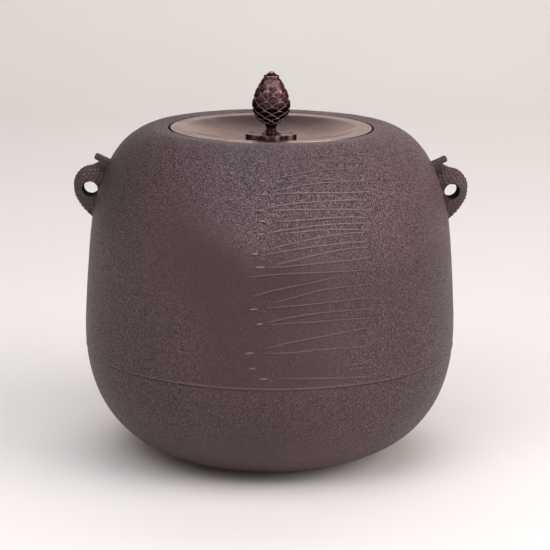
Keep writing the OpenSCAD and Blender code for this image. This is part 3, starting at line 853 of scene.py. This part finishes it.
# ---------------------------------------------------------------- lid
def build_lid():
    dish = bez([[57.5, 218.58], [54.5, 218.43], [36, 210.8], [17.5, 210.8]], 60)
    top = np.vstack([[[3.0, 210.8]], [[r, 210.8] for r in (4.5, 7, 10, 13, 15.5)], dish[::-1]])
    rim = fillet([dish[0], [59.5, 218.60], [62, 218.62], [64.6, 218.66], [66.2, 218.70], [66.2, 216.3], [65.9, 216.0], [58.4, 216.0], [58.4, 209.3],
                  [58.1, 209.0], [55.9, 209.0], [55.6, 209.3], [55.6, 216.0], dish[11] - [0.0, 2.4]],
                 [0, 0, 0, 0.5, 0.12, 0.3, 0.3, 0.5, 0.3, 0.3, 0.3, 0.3, 0.8, 0], 5)
    under = np.vstack([dish[12:] - [0, 2.4], [[r, 208.4] for r in (13, 8, 4.5, 3.0)]])
    prof = np.vstack([top, rim[1:], under])
    n_top = len(top) + 3
    # a pale line just inside the lid's outer edge: painted highlight
    bright = 0.8 * sstep(prof[:, 0], 64.9, 65.7) * sstep(prof[:, 1], 218.3, 218.55)

    def shift(r, z, th):
        x, y = r * np.cos(th), r * np.sin(th)
        p = np.stack([x, y, z], -1).reshape(-1, 3)
        d = (0.035 * vnoise(p / 19, 41) + 0.012 * vnoise(p / 7, 42)).reshape(r.shape)
        keep = np.zeros(r.shape)
        keep[1:n_top] = 1
        return d * keep
    pts, faces = spin(prof, 320, True, shift)
    return make("lid_plate", pts, faces, "lid", "lid", [LID_BRONZE], {"rim": np.repeat(bright, 320)})


def build_washer():
    prof = fillet([[3.0, 207.55], [3.0, 206.75], [8.4, 206.75], [9.0, 207.2], [9.0, 208.35], [3.0, 208.35], [3.0, 207.55]],
                  [0, 0.15, 0.4, 0.3, 0.15, 0.15, 0], 4)[:-1]
    pts, faces = spin(prof, 96, True)
    return make("washer_disc", pts, faces, "washer", "under_washer", [LID_BRONZE])


# ---------------------------------------------------------------- plum-blossom seat
def build_seat():
    cols = 320
    th = np.arange(cols) / cols * TAU
    lobe = np.mod(th + math.pi / 2 + math.pi / 5, TAU / 5) - math.pi / 5
    d, rad = 9.17, 8.13
    edge = d * np.cos(lobe) + np.sqrt(rad ** 2 - (d * np.sin(lobe)) ** 2)
    # profile: (kind, value, z); "r" is a fixed radius and "f" a share of the petal's edge
    prof = [("r", 3.0, 212.0), ("r", 3.0, 213.05), ("r", 3.2, 213.2), ("r", 4.6, 213.2), ("r", 6.0, 213.2), ("r", 6.35, 213.35), ("r", 6.5, 213.9),
            ("r", 6.8, 214.2), ("f", 0.50, 214.25), ("f", 0.58, 214.22), ("f", 0.66, 214.22), ("f", 0.74, 214.26), ("f", 0.82, 214.38), ("f", 0.88, 214.52),
            ("f", 0.93, 214.68), ("f", 0.965, 214.79), ("f", 0.985, 214.8), ("f", 0.996, 214.76), ("f", 1.0, 214.64), ("f", 1.0, 214.0), ("f", 1.0, 213.2), ("f", 1.0, 212.3),
            ("f", 1.0, 211.5), ("f", 1.0, 211.1), ("f", 0.992, 210.85), ("f", 0.97, 210.8), ("f", 0.8, 210.8), ("f", 0.6, 210.8), ("r", 5.5, 210.8), ("r", 3.2, 210.8), ("r", 3.0, 211.0)]
    rows = []
    side_shade = []
    for kind, v, z in prof:
        r = np.full(cols, v) if kind == "r" else v * edge
        zz = np.full(cols, z)
        if kind == "f" and z > 214.0:
            # groove between neighbouring petals, and a shallow crease along each one
            away = r * np.abs(np.sin(math.pi / 5 - np.abs(lobe)))
            zz = zz - 0.75 * np.exp(-(away / 0.55) ** 2) * sstep(v, 0.45, 0.62)
            zz = zz - 0.10 * np.exp(-(r * np.sin(lobe) / 1.6) ** 2) * sstep(v, 0.5, 0.7) * (1 - sstep(v, 0.9, 0.97))
        rows.append(np.stack([r * np.cos(th), r * np.sin(th), zz], 1))
        # the petals' upright outer walls are marked for darkening: painted shade on the sides
        side_shade.append(np.full(cols, 1.0 if (kind == "f" and v > 0.97 and z < 214.7) else 0.0))
    pts = np.vstack(rows)
    faces = ring_faces(len(prof), cols, True)
    return make("seat_blossom", pts, faces, "lid", "knob_seat", [SEAT_BRONZE], {"side": np.concatenate(side_shade)})


# ---------------------------------------------------------------- pine-cone knob
def build_knob():
    env = smooth_path([(3.6, 220.4), (6.2, 221.4), (8.2, 222.9), (9.9, 224.9), (11.5, 227.6), (12.5, 230.3), (12.8, 233.0), (12.5, 235.7),
                       (11.9, 238.3), (11.1, 241.0), (9.9, 243.7), (8.5, 246.4), (6.9, 249.1), (5.3, 251.2)], 400)
    es = arc(env)
    tan = np.gradient(env, axis=0)
    tan /= np.linalg.norm(tan, axis=1)[:, None]

    def at(s):
        s = np.clip(s, 0, es[-1])
        return (np.interp(s, es, env[:, 0]), np.interp(s, es, env[:, 1]),
                np.interp(s, es, tan[:, 1]), -np.interp(s, es, tan[:, 0]))
    verts, faces, lip, recess_dark_and_shade = [], [], [], []

    def add(p, f, a, b):
        k = len(verts)
        verts.extend(np.asarray(p).tolist())
        faces.extend([[i + k for i in q] for q in f])
        lip.extend(np.asarray(a).tolist())
        recess_dark_and_shade.extend(np.asarray(b).tolist())
    # core, neck, collar, stem, riveted end and bud in one turned piece
    core = [(max(3.5, r - 1.5 + 1.1 * float(sstep(z, 241, 249))), z) for r, z in zip(env[::12, 0], env[::12, 1])]
    prof = np.array([(0, 204.43), (1.4, 204.43), (2.6, 204.55), (3.7, 205.0), (4.35, 205.7), (4.6, 206.5), (4.45, 206.63), (2.95, 206.63), (2.95, 208), (2.95, 210), (2.95, 213.25),
                     (3.1, 213.3), (3.3, 213.3), (3.3, 213.5), (3.0, 213.8), (2.9, 214.2), (3.15, 214.5), (4.0, 214.75), (4.4, 215.05), (4.4, 215.45), (4.0, 215.8),
                     (3.35, 216.1), (3.1, 216.6), (3.05, 217.4), (3.1, 218.3), (3.3, 219.0), (3.75, 219.5), (4.05, 219.9), (4.15, 220.2)] + core +
                    [(4.3, 251.25), (4.85, 251.5), (5.05, 252.0), (5.0, 252.6), (4.65, 252.95), (3.9, 252.85), (3.0, 252.9), (2.75, 253.15), (2.95, 253.6), (2.9, 253.95),
                     (2.4, 254.2), (1.85, 254.3), (1.75, 254.65), (1.45, 255.05), (0.85, 255.33), (0, 255.4)], float)

    def crown(r, z, th):
        return np.where((z > 251.4) & (z < 252.98), 0.26 * np.abs(np.cos(4 * th)) - 0.2, 0.0) + np.where((z > 214.5) & (z < 215.8), 0.22 * np.abs(np.cos(5 * th)) - 0.16, 0.0)
    p, f = spin(prof, 112, False, crown)
    z = p[:, 2]
    r = np.hypot(p[:, 0], p[:, 1])
    # paler cap ring, tip and collar: wear and painted highlight; darker neck, core between the scales and band under
    # the tip: dark patina and painted shade
    add(p, f, ((z > 251.7) & (z < 252.7)) * 0.45 + (z > 254.5) * 0.8 + ((z > 214.9) & (z < 215.6) & (r > 4)) * 0.35,
        np.clip(((z > 218.5) & (z < 251.0)) * (1 - 0.8 * sstep(z, 241, 247)) + ((z > 252.8) & (z < 254.2)) * 0.9 + ((z > 213.2) & (z < 218.5)) * 0.6, 0, 1))
    rows = [0.8, 3.3, 5.9, 8.5, 11.2, 14.0, 17.0, 20.4, 24.2, 28.2, 32.2, 36.0, 39.4]
    count = 8
    nu, nv = 13, 15
    for k in range(len(rows) - 1):
        s0 = rows[k]
        back = (s0 - rows[k - 1]) * 1.05 if k else 2.0
        fore = (rows[k + 1] - s0) * 1.12
        for c in range(count):
            th0 = math.radians(-90) + TAU / count * (c + (0.5 if k % 2 == 0 else 0.0)) + 0.022 * k - 0.1
            u = np.linspace(-1, 1, nu)[None]
            v = np.linspace(-1, 1, nv)[:, None]
            s = s0 + np.where(v > 0, fore, back) * v + 0 * u
            w = (1 - np.abs(v) ** 1.7) * (math.pi / count) * 1.02 + 0.05
            rr, zz, nr, nz = at(s)
            ang = th0 + u * w + 0.08 * v
            rise = sstep(v, -0.80, 0.55)
            curl = 0.15 * sstep(v, 0.78, 1.0)
            jitter = 0.08 * math.sin(12.9 * k + 7.3 * c)
            upper = float(sstep(k, 4.2, 7.6))
            # a hollow face inside a raised lip along its two upper edges
            rim = np.maximum(np.abs(u) ** 8 * sstep(v, -0.40, 0.05), sstep(v, 0.80, 0.97) + 0 * u)
            hollow = (0.85 - 0.40 * upper) * (1 - np.abs(u) ** 2.6) * np.exp(-((v - 0.12) / 0.46) ** 2)
            off = -1.6 + (1.5 + jitter) * rise - curl - hollow + 0.12 * rim
            outer = np.stack([(rr + off * nr) * np.cos(ang), (rr + off * nr) * np.sin(ang), zz + off * nz], -1)
            thick = 0.35 + 0.28 * rise + 0 * u
            low = off - thick
            inner = np.stack([(rr + low * nr) * np.cos(ang), (rr + low * nr) * np.sin(ang), zz + low * nz], -1)
            # rim loop, a little outside the edge so that the lip is round
            ring = [(0, j) for j in range(nu)] + [(i, nu - 1) for i in range(1, nv)] + [(nv - 1, j) for j in range(nu - 2, -1, -1)] + [(i, 0) for i in range(nv - 2, 0, -1)]
            mid = []
            centre = outer.reshape(-1, 3).mean(0)
            for i, j in ring:
                a = 0.5 * (outer[i, j] + inner[i, j])
                o = outer[i, j] - centre
                o = o / (np.linalg.norm(o) + 1e-9)
                mid.append(a + 0.16 * o * (1 if i > nv // 3 else 0))
            p = np.vstack([outer.reshape(-1, 3), inner.reshape(-1, 3), np.array(mid)])
            m0, m1 = nu * nv, 2 * nu * nv
            f = []
            for i in range(nv - 1):
                for j in range(nu - 1):
                    a = i * nu + j
                    f.append([a, a + 1, a + nu + 1, a + nu])
                    f.append([m0 + a, m0 + a + nu, m0 + a + nu + 1, m0 + a + 1])
            L = len(ring)
            for q in range(L):
                (i, j), (i2, j2) = ring[q], ring[(q + 1) % L]
                a, b = i * nu + j, i2 * nu + j2
                f.append([b, a, m1 + q, m1 + (q + 1) % L])
                f.append([m1 + (q + 1) % L, m1 + q, m0 + a, m0 + b])
            # the lower rows' faces, the lower part of each face and the scales' undersides darkened: dark patina and
            # painted shade; the lips paler, more so on the lower rows: wear and painted highlight
            deep = 1 - sstep(v + 0 * u, -0.70, -0.15)
            face = (1 - rim) * (0.97 - 0.85 * upper)
            deep = deep * (1 - 0.7 * float(sstep(k, 8.5, 10.0)))
            lit = 0.75 - 0.25 * upper
            a = np.concatenate([(lit * rim).ravel(), np.zeros(m0), [lit if i > nv // 2 else 0.0 for i, j in ring]])
            b = np.concatenate([np.maximum(deep, face).ravel(), np.ones(m0), [0.0 if i > nv // 2 else 0.9 for i, j in ring]])
            add(p, f, a, b)
    return make("knob_cone", verts, faces, "knob", "knob", [KNOB_BRONZE], {"lip": lip, "recess_dark_and_shade": recess_dark_and_shade})


# ---------------------------------------------------------------- inside the kettle
PLATES = [[20, 30, 34, 17], [92, 33, 28, 19], [165, 29, 36, 15], [238, 32, 30, 18], [308, 31, 33, 16]]


def build_plates():
    verts, faces = [], []
    dv, df = [], []
    for no, (ang, dist, ln, wd) in enumerate(PLATES):
        a = math.radians(ang)
        out = np.array([[-wd / 2, -ln / 2 + 3], [-wd / 2 + 4, -ln / 2], [wd / 2, -ln / 2 + 1.5], [wd / 2 - 1, ln / 2 - 4], [wd / 2 - 5, ln / 2], [-wd / 2 + 1, ln / 2 - 2]])
        ring = fillet(np.vstack([out, out[:2]]), 1.2, 5)[1:]
        # even points round the outline
        ring = resample(np.vstack([ring, ring[:1]]), 0.9)[:-1]
        n = len(ring)
        levels = [(0.02, 7.9), (0.25, 7.9), (0.5, 7.9), (0.75, 7.9), (0.93, 7.88), (0.985, 7.72), (1.0, 7.4), (1.0, 7.05), (0.985, 6.75), (0.93, 6.62), (0.75, 6.6), (0.5, 6.6), (0.25, 6.6), (0.02, 6.6)]
        at = len(verts)
        c = ring.mean(0)
        for f, z in levels:
            q = c + (ring - c) * f
            zz = np.full(n, z) + (0.22 * vnoise(np.column_stack([q * 0.23, np.full(n, no * 5.0)]), 51) - 0.2 if z > 7.2 else 0.0)
            x = dist + q[:, 0]
            y = q[:, 1]
            verts.extend(np.stack([x * math.cos(a) - y * math.sin(a), x * math.sin(a) + y * math.cos(a), zz], 1).tolist())
        for i in range(len(levels) - 1):
            for k in range(n):
                k2 = (k + 1) % n
                faces.append([at + i * n + k, at + i * n + k2, at + (i + 1) * n + k2, at + (i + 1) * n + k])
        faces.append([at + k for k in range(n)])
        faces.append([at + (len(levels) - 1) * n + k for k in range(n)][::-1])
        # two dabs of lacquer under each plate
        for s in (-1, 1):
            at2 = len(dv)
            m = 40
            t = np.arange(m) / m * TAU
            wob = 1 + 0.06 * np.sin(3 * t + no) + 0.04 * np.sin(5 * t + 2 * s)
            steps = [(0.3, 5.0), (0.85, 5.0), (1.0, 5.05), (0.98, 5.5), (0.90, 6.1), (0.84, 6.5), (0.78, 6.6), (0.3, 6.6)]
            for f, z in steps:
                x = dist + 4.6 * f * wob * np.cos(t)
                y = s * ln * 0.26 + 4.6 * f * wob * np.sin(t)
                dv.extend(np.stack([x * math.cos(a) - y * math.sin(a), x * math.sin(a) + y * math.cos(a), np.full(m, z)], 1).tolist())
            for i in range(len(steps) - 1):
                for k in range(m):
                    k2 = (k + 1) % m
                    df.append([at2 + i * m + k, at2 + i * m + k2, at2 + (i + 1) * m + k2, at2 + (i + 1) * m + k])
            df.append([at2 + k for k in range(m)][::-1])
            df.append([at2 + (len(steps) - 1) * m + k for k in range(m)])
    make("sounding_plates", verts, faces, "kettle", "singing_plates", [PLATE])
    make("lacquer_dabs", dv, df, "kettle", "plate_dabs", [LACQUER])


build_body()
build_bottom()
build_putty()
build_needles()
build_lugs()
build_lid()
build_washer()
build_seat()
build_knob()
build_plates()

# ---------------------------------------------------------------- stage
def build_stage():
    ys = np.concatenate([np.linspace(-4.0, 1.6, 15), 1.6 + 1.2 * np.sin(np.linspace(0.1, math.pi / 2, 14))])
    zs = np.concatenate([np.zeros(15), 1.2 * (1 - np.cos(np.linspace(0.1, math.pi / 2, 14)))])
    ys = np.append(ys, [2.8, 2.8, 2.8])
    zs = np.append(zs, [2.0, 3.0, 4.2])
    xs = np.linspace(-5, 5, 21)
    pts = [(x, y, z - 0.0002) for y, z in zip(ys, zs) for x in xs]
    n = len(xs)
    faces = [[i * n + k, i * n + k + 1, (i + 1) * n + k + 1, (i + 1) * n + k] for i in range(len(ys) - 1) for k in range(n - 1)]
    me = bpy.data.meshes.new("studio_sweep")
    me.from_pydata(pts, [], faces)
    me.polygons.foreach_set("use_smooth", [True] * len(me.polygons))
    me.materials.append(PAPER)
    ob = bpy.data.objects.new("studio_sweep", me)
    bpy.context.scene.collection.objects.link(ob)


build_stage()


def area(name, at, to, size, watts, colour, glossy=True):
    d = bpy.data.lights.new(name, "AREA")
    d.shape = "RECTANGLE"
    d.size, d.size_y = size
    d.energy = watts
    d.color = colour
    o = bpy.data.objects.new(name, d)
    o.location = at
    o.rotation_euler = (Vector(to) - Vector(at)).to_track_quat("-Z", "Y").to_euler()
    o.visible_glossy = glossy
    bpy.context.scene.collection.objects.link(o)


area("top_light", (-0.05, -0.62, 1.45), (0, 0, 0.15), (1.9, 1.5), 18.5, (0.88, 0.91, 1.0))
area("fill_left", (-0.80, -1.05, 1.20), (0, 0, 0.05), (1.0, 0.8), 5.6, (1.0, 0.95, 0.92))
area("fill_right", (1.35, -0.80, 0.85), (0.05, 0, 0.08), (1.0, 0.8), 6.4, (1.0, 0.95, 0.92))
area("right_light", (2.62, -1.12, 1.65), (0, 0, 0.1), (2.6, 2.5), 49.0, (1.0, 0.96, 0.93))
area("back_light", (0.3, 1.45, 2.5), (0.3, 1.45, 0), (2.6, 1.4), 29.0, (1.0, 0.98, 0.97), False)


def build_world():
    """Pale near the horizon, dark overhead."""
    world = bpy.data.worlds.new("studio")
    world.use_nodes = True
    nt = world.node_tree
    bg = nt.nodes["Background"]
    sep = nt.nodes.new("ShaderNodeSeparateXYZ")
    nt.links.new(nt.nodes.new("ShaderNodeTexCoord").outputs["Generated"], sep.inputs[0])
    col = ramp(nt, sep.outputs["Z"], [(0.0, (0.42, 0.395, 0.38)), (0.30, (0.36, 0.335, 0.325)), (0.62, (0.14, 0.125, 0.12)), (1.0, (0.06, 0.052, 0.05))])
    # a dark flag stands to the left, and the room is open to the right
    across = ramp(nt, remap(nt, sep.outputs["X"], -1.0, 1.0, 0.0, 1.0), [(0.0, (0.75, 0.75, 0.75)), (0.5, (1.0, 1.0, 1.0)), (1.0, (1.1, 1.1, 1.1))])
    col = mix(nt, "MULTIPLY", 1.0, col, across)
    nt.links.new(col, bg.inputs[0])
    bg.inputs[1].default_value = 1.2
    bpy.context.scene.world = world


build_world()
bpy.context.scene.view_settings.view_transform = "Standard"

# ---------------------------------------------------------------- camera
def build_camera():
    turn, pitch, roll, yaw = (math.radians(a) for a in (0.0, 13.08, 0.40, 0.148))
    fwd = Vector((0, math.cos(pitch), -math.sin(pitch)))
    right = Vector((1, 0, 0))
    up = Vector((0, math.sin(pitch), math.cos(pitch)))
    f2 = fwd * math.cos(yaw) + right * math.sin(yaw)
    r2 = right * math.cos(yaw) - fwd * math.sin(yaw)
    r3 = r2 * math.cos(roll) + up * math.sin(roll)
    u3 = up * math.cos(roll) - r2 * math.sin(roll)
    m = Matrix((r3, u3, -f2)).transposed().to_4x4()
    m.translation = Vector((0, -1.24157, 0.40702))
    cam = bpy.data.cameras.new("camera")
    cam.sensor_width = 36.0
    cam.lens = 1900 / 550 * 36.0
    cam.clip_start, cam.clip_end = 0.05, 30
    ob = bpy.data.objects.new("camera", cam)
    bpy.context.scene.collection.objects.link(ob)
    ob.matrix_world = Matrix.Rotation(turn, 4, "Z") @ m
    bpy.context.scene.camera = ob


build_camera()
